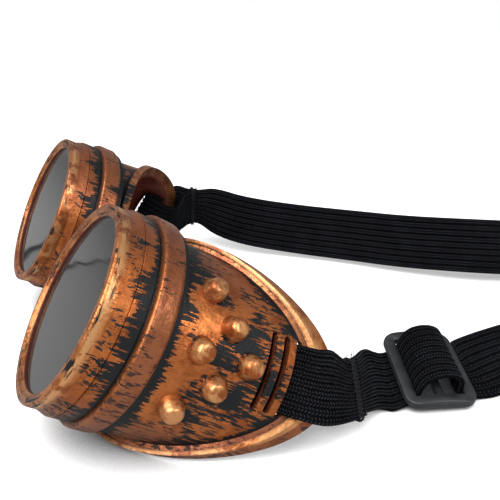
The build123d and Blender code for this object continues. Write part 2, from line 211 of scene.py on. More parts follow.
# The strap's run from one sewn end to the other, in millimetres. Each place is x, y, z, the
# direction of the upper edge, and the width, and what a place leaves out is as at the one before
strap = {
    "width": 25.0,
    "thickness": 1.3,
    "ribs": 9,
    "ribColumns": 4,
    "valley": 0.3,
    "rowStep": 0.86,
    "roundings": 3,
    "webbing": {"low": (0.0008, 0.0009, 0.0013), "high": (0.003, 0.0032, 0.0042),
                "roughness": 0.9, "gloss": 0.05},
    "yarn": {"low": (0.004, 0.0045, 0.0065), "high": (0.017, 0.019, 0.027),
             "roughness": 0.62, "gloss": 0.25},
    "leftLoop": [
        (73.45, -41.45, 14.76, -0.349, -0.027, 0.937, 17.6),
        (74.26, -45.57, 14.94),
        (74.70, -51.00, 18.25, -0.373, 0.117, 0.920, 21.0),
        (74.84, -54.50, 19.74, -0.390, 0.266, 0.882, 21.4),
        (73.82, -58.52, 21.05, -0.398, 0.461, 0.793, 20.0),
        (71.41, -62.41, 22.12, -0.396, 0.535, 0.746, 20.0),
        (66.00, -63.56, 20.07),
        (65.11, -67.00, 22.06, -0.396, 0.535, 0.746, 23.5),
        (63.99, -71.31, 24.56),
        (61.89, -73.30, 24.87),
        (60.56, -70.81, 22.39),
        (60.50, -64.73, 17.99, -0.398, 0.500, 0.770, 20.0),
        (63.26, -56.41, 13.49, -0.394, 0.324, 0.860, 20.0),
        (70.16, -51.45, 13.24, -0.349, -0.027, 0.937, 17.6),
        (72.79, -45.88, 14.39),
        (71.73, -40.49, 14.15),
    ],
    "buckle": [
        (64.34, -30.03, 8.32, -0.665, -0.020, 0.747, 19.4),
        (63.14, -22.69, 3.67, -0.918, 0.313, 0.244, 22.6),
        (62.56, -15.18, 4.16),
        (63.03, -14.58, 5.15),
        (63.93, -14.65, 8.64),
        (64.86, -14.32, 11.72),
        (66.14, -12.55, 14.27),
        (67.59, -8.35, 15.14),
        (68.73, -4.13, 14.02),
        (68.70, -2.12, 11.33),
        (68.08, -1.50, 8.21),
        (67.24, -1.24, 4.72),
        (67.20, -0.55, 3.68),
        (69.38, 6.02, 3.44),
    ],
    "back": [
        (69.22, 9.07, 3.89, -0.963, -0.081, 0.259, 25.0),
        (68.07, 22.68, 3.89, -0.966, 0.000, 0.259, 25.0),
        (69.22, 40.57, 4.50, -0.942, 0.129, 0.309, 25.0),
        (73.26, 60.48, 6.09, -0.878, 0.192, 0.438, 25.0),
        (77.75, 79.63, 8.56, -0.754, 0.136, 0.643, 25.0),
        (79.78, 96.51, 10.75, -0.559, -0.025, 0.829, 25.0),
        (76.26, 113.65, 12.11, -0.283, -0.123, 0.951, 25.0),
        (66.75, 126.50, 12.52, -0.068, -0.079, 0.995, 25.0),
        (53.82, 133.05, 12.54, 0.006, 0.034, 0.999, 25.0),
        (42.38, 130.78, 12.52, -0.056, 0.089, 0.995, 25.0),
        (35.34, 121.46, 13.17, -0.166, 0.094, 0.982, 25.0),
        (29.62, 108.10, 14.22, -0.257, 0.099, 0.961, 25.0),
        (24.34, 92.98, 15.68, -0.337, 0.122, 0.934, 25.0),
        (17.74, 75.34, 16.96, -0.364, 0.182, 0.914, 25.0),
        (7.62, 59.47, 16.86, -0.298, 0.227, 0.927, 25.0),
        (-9.10, 40.06, 15.61, -0.223, 0.214, 0.951, 25.0),
        (-28.02, 22.43, 14.77, -0.190, 0.176, 0.966, 25.0),
        (-45.27, 1.00, 15.35, -0.181, 0.134, 0.974, 25.0),
        (-60.23, -20.92, 17.92, -0.147, 0.122, 0.982, 25.0),
        (-72.73, -32.01, 20.74, -0.092, 0.104, 0.990, 25.0),
    ],
    "rightLoop": [
        (-81.82, -37.35, 21.52, 0.199, -0.004, 0.980, 20.0),
        (-82.22, -42.84, 21.57),
        (-78.77, -48.01, 20.85),
        (-72.81, -55.71, 16.79, 0.212, 0.292, 0.933, 20.0),
        (-69.97, -64.24, 20.83, 0.211, 0.450, 0.870, 20.0),
        (-70.13, -70.78, 24.51, 0.210, 0.475, 0.855, 23.5),
        (-71.58, -73.65, 26.45),
        (-73.79, -71.82, 25.98),
        (-74.93, -67.36, 23.78),
        (-75.83, -63.79, 22.02, 0.210, 0.475, 0.855, 20.0),
        (-81.60, -63.36, 23.19),
        (-83.98, -59.11, 22.99, 0.211, 0.409, 0.888, 20.0),
        (-84.68, -53.94, 23.98, 0.211, 0.243, 0.947, 21.4),
        (-84.33, -49.45, 24.03, 0.206, 0.118, 0.971, 21.4),
        (-83.79, -42.72, 21.89, 0.199, -0.004, 0.980, 20.0),
        (-83.48, -38.53, 21.85),
    ],
    # Each piece: where it starts and ends along the run, the two bodies that carry it, and where
    # it passes from the first body to the second
    "pieces": {
        "strap_left_end": ("start", (63.1, -22.7, 3.7), "left_cup", "buckle",
                           (71.7, -40.5, 14.1), (63.1, -22.7, 3.7)),
        "strap_buckle_bend": ((63.1, -22.7, 3.7), (79.78, 96.51, 10.75), "buckle", "left_cup",
                              (69.4, 6.0, 3.4), (73.3, 60.5, 6.1)),
        "strap_back": ((79.78, 96.51, 10.75), "end", "left_cup", "right_cup",
                       (66.7, 126.5, 12.5), (-72.7, -32.0, 20.7)),
    },
}

# The nose strip, laid out as the strap is, with a thick knob at each end behind its lug
bridge = {
    "width": 12.0,
    "thickness": 1.2,
    "knob": 3.6,
    "knobBack": 1.2,
    "knobPower": 4,
    "knobLeast": 0.02,
    "knobWidth": 0.9,
    "sectionPower": 5.0,
    "sectionSteps": 15,
    "rowStep": 0.4,
    "roundings": 3,
    "finish": {"low": (0.006, 0.006, 0.006), "high": (0.014, 0.014, 0.014),
               "roughness": 0.5, "grain": 900.0},
    "run": [
        (6.17, -103.04, 16.63, -0.396, 0.535, 0.746, 12.0),
        (6.01, -106.33, 18.90),
        (4.83, -108.04, 19.51),
        (2.58, -109.50, 19.35),
        (-3.08, -109.35, 25.24, -0.098, 0.531, 0.842, 12.0),
        (-8.73, -103.75, 27.77, 0.210, 0.475, 0.855, 12.0),
        (-11.11, -102.52, 27.67),
        (-12.34, -100.85, 27.05),
        (-12.46, -97.34, 25.13),
    ],
}


def filledRows(places):
    rows = []
    for place in places:
        rows.append([*place, *(rows[-1][len(place):] if rows else [])])
    return np.array(rows, float)


def roundedRun(rows, roundings, step):
    # Cuts the run's corners until it is round, and then places a row at every step
    for _ in range(roundings):
        near = rows[:-1] * (1 - cornerCut) + rows[1:] * cornerCut
        far = rows[:-1] * cornerCut + rows[1:] * (1 - cornerCut)
        inner = np.stack([near, far], axis=1).reshape(-1, rows.shape[1])
        rows = np.concatenate([rows[:1], inner, rows[-1:]])
    gaps = np.linalg.norm(np.diff(rows[:, :3], axis=0), axis=1)
    along = np.concatenate([[0], np.cumsum(gaps)])
    at = np.linspace(0, along[-1], int(round(along[-1] / step)) + 1)
    run = np.stack([np.interp(at, along, rows[:, k]) for k in range(rows.shape[1])], axis=1)
    run[:, 3:6] /= np.linalg.norm(run[:, 3:6], axis=1)[:, None]
    return run, at


def unit(rows):
    return rows / np.maximum(np.linalg.norm(rows, axis=1), leastLength)[:, None]


def addAttribute(mesh, name, kind, values):
    attribute = mesh.attributes.new(name, kind, "POINT")
    key = "value" if kind == "FLOAT" else "vector"
    attribute.data.foreach_set(key, np.asarray(values, np.float32).ravel())


def skinFaces(rows, count, closed):
    # Quads from each row of points to the next, where every row is a ring of count points
    i, j = np.meshgrid(np.arange(rows if closed else rows - 1), np.arange(count), indexing="ij")
    k, n = (j + 1) % count, (i + 1) % rows
    quads = np.stack([i * count + j, i * count + k, n * count + k, n * count + j], -1)
    return [tuple(q) for q in quads.reshape(-1, 4)]


def sweptMesh(name, places, sides, widths, thicks, section, ups=None, closed=False):
    # A closed solid along a run. The section is its upper outline and then its lower one, each
    # place as a share of the width and of half the thickness. Sides and ups are the ways of both
    if ups is None:
        ups = unit(np.cross(unit(np.gradient(places, axis=0)), sides))
    count, rows = len(section), len(places)
    points = (
        places[:, None]
        + sides[:, None] * (widths[:, None] * section[None, :, 0])[..., None]
        + ups[:, None] * (thicks[:, None] / 2 * section[None, :, 1])[..., None]
    )
    faces = skinFaces(rows, count, closed)
    for row in () if closed else (0, rows - 1):
        for j in range(count // 2 - 1):
            a, b = row * count + j, row * count + count - 1 - j
            end = (a, a + 1, b - 1, b)
            faces.append(end if row == 0 else end[::-1])
    return meshFrom(name, points.reshape(-1, 3) * mm, faces)


def wholeOutline(upper):
    # An outline for both faces of a section from its upper half
    return np.concatenate([upper, (upper * (1, -1))[::-1]])


def roundedSection(power, steps):
    turn = np.linspace(math.pi, 0, steps)
    x = 0.5 * np.sign(np.cos(turn)) * np.abs(np.cos(turn)) ** (2 / power)
    return wholeOutline(np.stack([x, np.abs(np.sin(turn)) ** (2 / power)], 1)[1:-1])


def ribbedSection(look):
    columns = look["ribs"] * look["ribColumns"]
    share = np.linspace(-0.5, 0.5, columns + 1)
    crown = np.sqrt(np.abs(np.sin(math.pi * look["ribs"] * (share + 0.5))))
    crest = (np.arange(columns + 1) % look["ribColumns"]) == look["ribColumns"] // 2
    crown = look["valley"] + (1 - look["valley"]) * crown
    return wholeOutline(np.stack([share, crown], 1)), np.concatenate([crest, crest[::-1]])


def ribbonMesh(name, run, at, look):
    # The ribbed strap, with a UV map across and along it and the attributes that its stitches use
    section, crest = ribbedSection(look)
    count, rows = len(section), len(run)
    places, sides = run[:, :3], run[:, 3:6]
    alongs = unit(np.gradient(places, axis=0))
    ups = unit(np.cross(alongs, sides))
    thicks = np.full(rows, look["thickness"])
    mesh = sweptMesh(name, places, sides, run[:, 6], thicks, section, ups)
    layer = mesh.uv_layers.new(name="UVMap")
    loops = np.zeros(len(mesh.loops), int)
    mesh.loops.foreach_get("vertex_index", loops)
    across = np.tile(section[:, 0] + 0.5, rows)
    uv = np.stack([across[loops], np.repeat(at, count)[loops] * mm], 1)
    layer.data.foreach_set("uv", uv.astype(np.float32).ravel())
    addAttribute(mesh, "crest", "FLOAT", np.tile(crest, rows))
    out = ups[:, None] * np.sign(section[None, :, 1])[..., None]
    addAttribute(mesh, "outward", "FLOAT_VECTOR", out.reshape(-1, 3))
    addAttribute(mesh, "lengthwise", "FLOAT_VECTOR", np.repeat(alongs, count, axis=0))
    return mesh


def joinedMesh(name, meshes):
    # One mesh from several, each of its own closed shells
    points, faces, start = [], [], 0
    for mesh in meshes:
        points += [tuple(v.co) for v in mesh.vertices]
        faces += [tuple(start + v for v in p.vertices) for p in mesh.polygons]
        start += len(mesh.vertices)
        bpy.data.meshes.remove(mesh)
    return meshFrom(name, points, faces)


# A knit stitch is two slanted legs of yarn. Lengths are in millimetres and the slant in degrees
knit = {
    "sizes": {"legLength": 1.4, "legWidth": 0.46, "spread": 1.05, "slant": 42.0, "seed": 11},
    "legSides": 4,
    "legRings": 2,
    "leastScale": 0.82,
    "mostScale": 1.1,
}


def sizedTree(name, sizes):
    # A Geometry Nodes tree with an input for each size and one for the material
    group = bpy.data.node_groups.new(name, "GeometryNodeTree")
    new = group.interface.new_socket
    new("Geometry", in_out="OUTPUT", socket_type="NodeSocketGeometry")
    new("Geometry", in_out="INPUT", socket_type="NodeSocketGeometry")
    for size, value in sizes.items():
        kind = "NodeSocketInt" if isinstance(value, int) else "NodeSocketFloat"
        new(size, in_out="INPUT", socket_type=kind).default_value = value
    new("material", in_out="INPUT", socket_type="NodeSocketMaterial")
    return Tree(group)


def knitTree():
    made = sizedTree("knitStitches", knit["sizes"])
    given = made.outputs("NodeGroupInput", {})
    inputs = {"Segments": knit["legSides"], "Rings": knit["legRings"], "Radius": 0.5}
    ball = made.node("GeometryNodeMeshUVSphere", {}, inputs)
    legs = []
    for side in (-1, 1):
        inputs = {
            "Geometry": ball,
            "Translation": made.combined(0.0, given["spread"] * (side / 2)),
            "Rotation": made.combined(0.0, 0.0, given["slant"] * math.radians(side)),
            "Scale": made.combined(given["legLength"], given["legWidth"], given["legWidth"]),
        }
        legs.append(made.node("GeometryNodeTransform", {}, inputs))
    stitch = made.node("GeometryNodeJoinGeometry", {}, {0: legs})

    def attribute(name, kind):
        return made.node("GeometryNodeInputNamedAttribute", {"data_type": kind}, {"Name": name})

    crest = {0: attribute("crest", "FLOAT"), 1: 0.5}
    ways = {0: attribute("outward", "FLOAT_VECTOR"), 1: attribute("lengthwise", "FLOAT_VECTOR")}
    axes = {"primary_axis": "Z", "secondary_axis": "X"}
    drawn = {2: knit["leastScale"], 3: knit["mostScale"], "Seed": given["seed"]}
    uneven = made.node("FunctionNodeRandomValue", {"data_type": "FLOAT"}, drawn, 1)
    inputs = {
        "Points": given["Geometry"],
        "Selection": made.node("FunctionNodeCompare", {"operation": "GREATER_THAN"}, crest),
        "Instance": stitch,
        "Rotation": made.node("FunctionNodeAxesToRotation", axes, ways),
        "Scale": uneven * mm,
    }
    placed = made.node("GeometryNodeInstanceOnPoints", {}, inputs)
    real = made.node("GeometryNodeRealizeInstances", {}, {0: placed})
    smooth = made.node("GeometryNodeSetShadeSmooth", {}, {"Geometry": real})
    inputs = {"Geometry": smooth, "Material": given["material"]}
    made.node("NodeGroupOutput", {}, {0: made.node("GeometryNodeSetMaterial", {}, inputs)})
    return made.nodeTree


def grown(name, source, tree, material, sizes):
    # Runs a tree on a copy of a mesh and keeps the plain mesh that comes out
    helper = newObject(name + "_source", source.copy())
    modifier = helper.modifiers.new("grow", "NODES")
    modifier.node_group = tree
    values = {**sizes, "material": material}
    for item in tree.interface.items_tree:
        if item.in_out == "INPUT" and item.name in values:
            modifier[item.identifier] = values[item.name]
    seen = helper.evaluated_get(bpy.context.evaluated_depsgraph_get())
    mesh = bpy.data.meshes.new_from_object(seen)
    mesh.name = name
    helper.modifiers.clear()
    bpy.data.objects.remove(helper)
    return newObject(name, mesh)


# A noise is its marks in a metre and its detail; a span says where it starts and stops to count
fibre = {
    "fuzz": (2600.0, 2.0),
    "wear": (90.0, 3.0),
    "grain": (5200.0, 2.0),
    "fuzzShare": 0.6,
    "wearShare": 0.5,
    "paleSpan": (0.35, 0.8),
    "wearRoughness": 0.2,
    "bump": 0.5,
    "bumpDepth": 0.0002,
}
moulding = {
    "marks": (140.0, 4.0),
    "grainDetail": 2.0,
    "markSpan": (0.35, 0.7),
    "markRoughness": 0.16,
    "grainRoughness": 0.1,
    "bump": 0.25,
    "bumpDepth": 0.0001,
}


def fibreFinish(name, low, high, roughness, gloss):
    # Dull dyed yarn, a little lighter where it is worn
    made = Finish(name)
    place = made.objectPlace()
    fuzz, duskyCollarAndRimShade, grain = (made.noise(place, *fibre[kind]) for kind in ("fuzz", "wear", "grain"))
    pale = (fuzz * fibre["fuzzShare"] + duskyCollarAndRimShade * fibre["wearShare"]).between(*fibre["paleSpan"])
    return made.done({
        "Base Color": made.mixed(pale, low, high),
        "Roughness": (duskyCollarAndRimShade * fibre["wearRoughness"] + roughness).clamped(),
        "Specular IOR Level": gloss,
        "Normal": made.bump(grain, fibre["bump"], fibre["bumpDepth"]),
    })


def plasticFinish(name, low, high, roughness, grain):
    # Moulded black plastic or rubber with a fine grain and faint handling marks
    made = Finish(name)
    place = made.objectPlace()
    marks = made.noise(place, *moulding["marks"])
    fine = made.noise(place, grain, moulding["grainDetail"])
    uneven = marks * moulding["markRoughness"] + fine * moulding["grainRoughness"]
    return made.done({
        "Base Color": made.mixed(marks.between(*moulding["markSpan"]), low, high),
        "Roughness": (uneven + roughness).clamped(),
        "Normal": made.bump(fine, moulding["bump"], moulding["bumpDepth"]),
    })


def nearest(run, place):
    if place == "start":
        return 0
    if place == "end":
        return len(run) - 1
    return int(np.linalg.norm(run[:, :3] - np.array(place), axis=1).argmin())


def makeStrap():
    webbing = fibreFinish("elasticWebbing", **strap["webbing"])
    yarn = fibreFinish("elasticYarn", **strap["yarn"])
    places = strap["leftLoop"] + strap["buckle"] + strap["back"] + strap["rightLoop"]
    run, at = roundedRun(filledRows(places), strap["roundings"], strap["rowStep"])
    tree = knitTree()
    for name, (first, last, bodyA, bodyB, bendStart, bendEnd) in strap["pieces"].items():
        a, b = nearest(run, first), nearest(run, last) + 1
        mesh = ribbonMesh(name, run[a:b], at[a:b], strap)
        stitches = grown(name + "_knit", mesh, tree, yarn, knit["sizes"])
        piece = newObject(name, mesh, webbing)
        for part in (piece, stitches):
            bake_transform(part)
    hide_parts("strap")


def tubeMesh(name, points, radii, sides, closed=False):
    # A round thread along points, shut at its ends unless it is a loop
    points = np.asarray(points, float)
    ahead = np.gradient(points, axis=0)
    if closed:
        ahead = np.roll(points, -1, axis=0) - np.roll(points, 1, axis=0)
    alongs = unit(ahead)
    least = np.eye(3)[np.abs(alongs).mean(axis=0).argmin()]
    first = unit(np.cross(alongs, least[None]))
    second = np.cross(alongs, first)
    turn = (np.arange(sides) * 2 * math.pi / sides)[None, :, None]
    ring = np.cos(turn) * first[:, None] + np.sin(turn) * second[:, None]
    shell = points[:, None] + ring * np.asarray(radii)[:, None, None]
    faces = skinFaces(len(points), sides, closed)
    if not closed:
        faces.append(tuple(range(sides))[::-1])
        faces.append(tuple((len(points) - 1) * sides + j for j in range(sides)))
    return meshFrom(name, shell.reshape(-1, 3) * mm, faces)


# Where both layers of the strap are sewn: x out of the cup, y along the width, z along the strap
pinches = {
    "left": {"place": (73.215, -44.160, 14.591), "x": cups["left"]["temple"],
             "z": (-0.192152, 0.980420, -0.043071), "piece": "strap_left_end", "seed": 5, "half": 9.3},
    "right": {"place": (-82.890, -41.181, 21.717), "x": cups["right"]["temple"],
              "z": (0.072958, 0.997278, -0.010660), "piece": "strap_back", "seed": 9, "half": 10.5},
}
# Turns of thread round both layers, and a row of short bowed stitches on each face
sewing = {
    "wraps": (-0.55, 0.0, 0.55),
    "wrapX": 2.05,
    "wrapCorner": 0.6,
    "wrapSteps": 6,
    "wrapWobble": 0.072,
    "wrapRadius": 0.19,
    "wrapSides": 8,
    "stitches": 13,
    "stitchMargin": 1.4,
    "stitchFace": 2.0,
    "stitchBow": 0.28,
    "stitchLean": 0.45,
    "stitchReach": 0.75,
    "stitchStretch": 1.4,
    "stitchRadius": 0.2,
    "stitchSides": 6,
    "wobble": 0.12,
    "steps": 7,
    "thread": {"low": (0.004, 0.004, 0.005), "high": (0.014, 0.014, 0.018),
               "roughness": 0.6, "gloss": 0.25},
}
# Loose ends of yarn. Those at the edge stand up from it, the others follow the strap. Pairs are
# the mean and the spread of a draw, or its lowest and highest value
frays = {
    "count": 34,
    "edgeEvery": 3,
    "edgeShare": 0.93,
    "across": (-0.95, 0.95),
    "margin": 1.0,
    "out": (-0.9, 1.6),
    "edgeAlong": (-1.5, 3.0),
    "along": 2.2,
    "length": (1.6, 5.2),
    "edgeLength": 0.8,
    "endLength": 0.55,
    "wayOut": (0.25, 0.3),
    "wayUp": 0.9,
    "waySide": (0.0, 0.35),
    "edgeWay": (0.3, 0.4),
    "wayAlong": 0.8,
    "curl": (0.0, 0.22),
    "radius": 0.085,
    "tip": 0.45,
    "steps": 7,
    "sides": 5,
    "yarn": {"low": (0.004, 0.004, 0.006), "high": (0.02, 0.02, 0.026),
             "roughness": 0.6, "gloss": 0.25},
}


def pinchPoint(pinch, x, y, z):
    across, along = Vector(pinch["x"]), Vector(pinch["z"])
    return Vector(pinch["place"]) + across * x + along.cross(across) * y + along * z


def cornerSpots(halfX, halfY, corner, steps):
    # Places and ways round a rectangle's four rounded corners, one list for each corner
    quarters = []
    for quarter, (sx, sy) in enumerate(((1, 1), (-1, 1), (-1, -1), (1, -1))):
        spots = []
        for step in range(steps):
            turn = (quarter + step / (steps - 1)) * math.pi / 2
            way = (math.cos(turn), math.sin(turn))
            x = sx * (halfX - corner) + corner * way[0]
            y = sy * (halfY - corner) + corner * way[1]
            spots.append((x, y, *way))
        quarters.append(spots)
    return quarters


def wrapLoop(pinch, z, draw):
    corners = cornerSpots(sewing["wrapX"], pinch["half"], sewing["wrapCorner"], sewing["wrapSteps"])
    spots = [spot for corner in corners for spot in corner]
    drift = draw.normal(0, sewing["wrapWobble"], len(spots))
    points = [pinchPoint(pinch, x, y, z + d) for (x, y, *_), d in zip(spots, drift)]
    radii = np.full(len(points), sewing["wrapRadius"])
    return tubeMesh("wrap", points, radii, sewing["wrapSides"], closed=True)


def stitchRow(pinch, draw):
    made = []
    steps = sewing["steps"]
    reachY = 2 * (pinch["half"] - sewing["stitchMargin"])
    for i in range(sewing["stitches"]):
        y = (i / (sewing["stitches"] - 1) - 0.5) * reachY
        lean = draw.normal(sewing["stitchLean"], sewing["wobble"])
        for face in (1, -1):
            reach = sewing["stitchReach"] + draw.normal(0, sewing["wobble"])
            points = []
            for s in np.linspace(-1, 1, steps):
                x = face * (sewing["stitchFace"] + sewing["stitchBow"] * (1 - s * s))
                z = reach * s * sewing["stitchStretch"]
                points.append(pinchPoint(pinch, x, y + lean * s, z))
            radii = np.full(steps, sewing["stitchRadius"])
            made.append(tubeMesh("stitch", points, radii, sewing["stitchSides"]))
    return made


def fray(pinch, draw, atEdge):
    upper = 1 if pinchPoint(pinch, 0, 1, 0).z > pinchPoint(pinch, 0, -1, 0).z else -1
    if atEdge:
        y = pinch["half"] * frays["edgeShare"] * upper
    else:
        y = draw.uniform(*frays["across"]) * (pinch["half"] - frays["margin"])
    x = draw.uniform(*frays["out"])
    z = draw.uniform(*frays["edgeAlong"]) if atEdge else frays["along"]
    length = draw.uniform(*frays["length"]) * frays["edgeLength" if atEdge else "endLength"]
    way = [draw.normal(*frays["wayOut"])]
    way.append(upper * frays["wayUp"] if atEdge else draw.normal(*frays["waySide"]))
    way.append(draw.normal(*frays["edgeWay"]) if atEdge else frays["wayAlong"])
    way = np.array(way) / np.linalg.norm(way)
    curl = draw.normal(*frays["curl"], 3)
    start = np.array([x, y, z])
    points = [pinchPoint(pinch, *(start + way * length * s + curl * length * s * s))
              for s in np.linspace(0, 1, frays["steps"])]
    radii = frays["radius"] * np.linspace(1.0, frays["tip"], frays["steps"])
    return tubeMesh("fray", points, radii, frays["sides"])


def makeSewing(yarn):
    # The sewing at each end of the strap, and the loose yarn of its cut end
    thread = fibreFinish("sewingThread", **sewing["thread"])
    threads = {}
    for side, pinch in pinches.items():
        draw = np.random.default_rng(pinch["seed"])
        parts = [wrapLoop(pinch, z, draw) for z in sewing["wraps"]] + stitchRow(pinch, draw)
        piece = newObject(side + "_sewing", joinedMesh(side + "_sewing", parts), thread)
        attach(piece, side + "_cup")
        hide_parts(side + "_strap_stitch")
        parts = [fray(pinch, draw, i % frays["edgeEvery"] == 0) for i in range(frays["count"])]
        ends = newObject(side + "_loose_threads", joinedMesh(side + "_loose_threads", parts), yarn)
        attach(ends, side + "_cup")
        threads[pinch["piece"]] = [ends]
    return threads


looseEnds = makeSewing(fibreFinish("looseYarn", **frays["yarn"]))
print("ends of the strap sewn")
makeStrap()
print("strap knitted")


def makeBridge():
    places = filledRows(bridge["run"])
    back = bridge["knobBack"]
    for end, nextTo in ((0, 1), (-1, -2)):
        way = places[end, :3] - places[nextTo, :3]
        places[end, :3] += way / np.linalg.norm(way) * back
    run, at = roundedRun(places, bridge["roundings"], bridge["rowStep"])
    fromEnd = np.minimum(at, at[-1] - at)
    knob = np.clip(1 - ((fromEnd - back) / back) ** bridge["knobPower"], bridge["knobLeast"], 1) ** 0.5
    knob *= fromEnd <= 2 * back
    thick = np.maximum(knob * bridge["knob"], np.where(fromEnd > back, bridge["thickness"], 0))
    width = bridge["width"] * np.where(fromEnd > back, 1, np.clip(knob, bridge["knobWidth"], 1))
    section = roundedSection(bridge["sectionPower"], bridge["sectionSteps"])
    mesh = sweptMesh("nose_strip", run[:, :3], run[:, 3:6], width, thick, section)
    piece = newObject("nose_strip", mesh, plasticFinish("bridgeRubber", **bridge["finish"]))
    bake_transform(piece)
    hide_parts("nose_bridge")


# Radii, and places behind the front of the lens ring
gasket = {
    "inner": 25.5,
    "outer": 27.7,
    "front": 3.8,
    "rear": 4.8,
    "steps": 120,
    "sectionPower": 4.0,
    "sectionSteps": 9,
    "finish": {"low": (0.006, 0.006, 0.007), "high": (0.012, 0.012, 0.013),
               "roughness": 0.55, "grain": 700.0},
}


def makeGaskets():
    rubber = plasticFinish("sealRubber", **gasket["finish"])
    section = roundedSection(gasket["sectionPower"], gasket["sectionSteps"])
    turns = np.arange(gasket["steps"]) * 2 * math.pi / gasket["steps"]
    middleR = (gasket["inner"] + gasket["outer"]) / 2
    middleZ = (gasket["front"] + gasket["rear"]) / 2
    widths = np.full(len(turns), gasket["outer"] - gasket["inner"])
    thicks = np.full(len(turns), gasket["rear"] - gasket["front"])
    for side, cup in cups.items():
        ways = np.array([cupTurn(cup) @ Vector((math.cos(t), math.sin(t), 0)) for t in turns])
        back = np.array(cup["back"])
        places = np.array(cup["place"]) + back * middleZ + ways * middleR
        ups = np.tile(back, (len(turns), 1))
        mesh = sweptMesh(side + "_seal", places, ways, widths, thicks, section, ups, closed=True)
        piece = newObject(side + "_seal", mesh, rubber)
        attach(piece, side + "_cup")
        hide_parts(side + "_lens_gasket")


# The slide buckle, in its own frame: u along the strap, v along the bars and n out of its face.
# The outline is the upper half of a bar's section, as shares of its width and half thickness
buckle = {
    "place": (65.335, -7.935, 6.123),
    "u": (0.314343, 0.948684, -0.034448),
    "n": (0.242054, -0.045010, 0.969218),
    "halfU": 12.0,
    "halfV": 15.5,
    "sideBar": 4.0,
    "rail": 3.6,
    "middleBar": 3.0,
    "thick": 2.4,
    "arch": 1.2,
    "archFade": 4,
    "corner": 2.6,
    "cornerSteps": 9,
    "sideSteps": 14,
    "outline": [(-0.5, 0.1), (-0.5, 0.6), (-0.45, 0.86), (-0.36, 1.0), (0.33, 1.0), (0.43, 0.88),
                (0.49, 0.6), (0.5, 0.3), (0.49, 0.16), (0.4, 0.06)],
    "barSteps": 12,
    "barThick": 2.304,
    "barSink": 0.72,
    "barPower": 3.0,
    "barSides": 13,
    "finish": {"low": (0.010, 0.0115, 0.0135), "high": (0.022, 0.024, 0.027),
               "roughness": 0.36, "grain": 1500.0},
}


def buckleSpots(halfU, halfV):
    # The middle line of the frame: four rounded corners with a straight run after each
    quarters = cornerSpots(halfU, halfV, buckle["corner"], buckle["cornerSteps"])
    spots = []
    for quarter, corner in enumerate(quarters):
        start, stop = corner[-1], quarters[(quarter + 1) % 4][0]
        spots += corner
        for s in np.linspace(0, 1, buckle["sideSteps"])[1:-1]:
            a = start[0] + (stop[0] - start[0]) * s
            b = start[1] + (stop[1] - start[1]) * s
            spots.append((a, b, *start[2:]))
    return spots


def buckleMesh():
    u, n = Vector(buckle["u"]), Vector(buckle["n"])
    v = n.cross(u)
    place = Vector(buckle["place"])
    halfU, halfV = buckle["halfU"] - buckle["sideBar"] / 2, buckle["halfV"] - buckle["rail"] / 2
    spots = buckleSpots(halfU, halfV)
    places, sides, widths, thicks = [], [], [], []
    for a, b, wayU, wayV in spots:
        arch = buckle["arch"] * max(1 - (a / halfU) ** 2, 0) * abs(wayV) ** buckle["archFade"]
        places.append(place + u * a + v * b + n * (arch / 2))
        sides.append(u * wayU + v * wayV)
        widths.append(buckle["sideBar"] + (buckle["rail"] - buckle["sideBar"]) * abs(wayV))
        thicks.append(buckle["thick"] + arch)
    ups = np.tile(np.array(n), (len(spots), 1))
    rows = [np.array(row) for row in (places, sides, widths, thicks)]
    section = wholeOutline(np.array(buckle["outline"]))
    frameMesh = sweptMesh("frame", *rows, section, ups, closed=True)
    steps = buckle["barSteps"]
    reach = halfV + buckle["barSink"]
    places = np.array([place + v * t for t in np.linspace(-reach, reach, steps)])
    sides, ups = np.tile(np.array(u), (steps, 1)), np.tile(np.array(n), (steps, 1))
    widths, thicks = np.full(steps, buckle["middleBar"]), np.full(steps, buckle["barThick"])
    section = roundedSection(buckle["barPower"], buckle["barSides"])
    barMesh = sweptMesh("bar", places, sides, widths, thicks, section, ups)
    return joinedMesh("slide_buckle", [frameMesh, barMesh])


def makeBuckle():
    plastic = plasticFinish("bucklePlastic", **buckle["finish"])
    piece = newObject("slide_buckle", buckleMesh(), plastic)
    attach(piece, "buckle")
    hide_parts("buckle")


makeBridge()
makeGaskets()
makeBuckle()
print("nose strip, seals and buckle made")


# Copper paint brushed over black plastic, worked out in each cup's own millimetres: x points to
# the temple, y to the cheek and z back along the cup from the front of its lens ring. A pair of
# numbers is where a mask starts and where it is full. Noises are marks in a millimetre and detail
copper = {
    # The gold tone is a painted highlight on the ridges: the lip, the step line, the collar's front
    # edge, the upper rim band and the studs
    "paintedHighlight": (0.68, 0.35, 0.15),
    "orange": (0.49, 0.142, 0.034),
    "brown": (0.16, 0.043, 0.015),
    "paintedShade": (0.22, 0.074, 0.044),
    "inside": (0.14, 0.030, 0.018),
    "black": (0.006, 0.007, 0.008),
    "metallic": 0.80,
    "insideDull": 0.6,
    "sheen": 0.26,
    "fineRoughness": 0.2,
    "bareRoughness": 0.1,
    "gloss": 0.22,
    "lowSpan": (-10.0, 22.0),  # a little more bare plastic towards the cheek
    "lowShare": 0.05,
    "loose": (0.572, 0.605),
    "loosePatches": (0.42, 0.49),
    "ridgeGuard": 1.4,
    "clouds": (0.16, 4.0, 0.65),
    "cloudSpan": (0.36, 0.64),
    "grain": (0.36, 0.70),
    "grainShare": 0.45,
    "streakShare": 0.8,
    "upperTurn": (-26.0, -6.0),  # painted shade: the upper side is duskier as seen at a grazing angle, and the lowest side as in shade
    "lowerTurn": (20.0, 29.0),
    "turnShare": 0.6,
    "highlightSpan": (1.0, 0.3),
    "paintHeight": 0.55,
    "fineHeight": 0.12,
    "dents": (0.5, 4.0),
    "dentHeight": 1.2,
    "bump": 0.55,
    "bumpDepth": 0.0003,
}
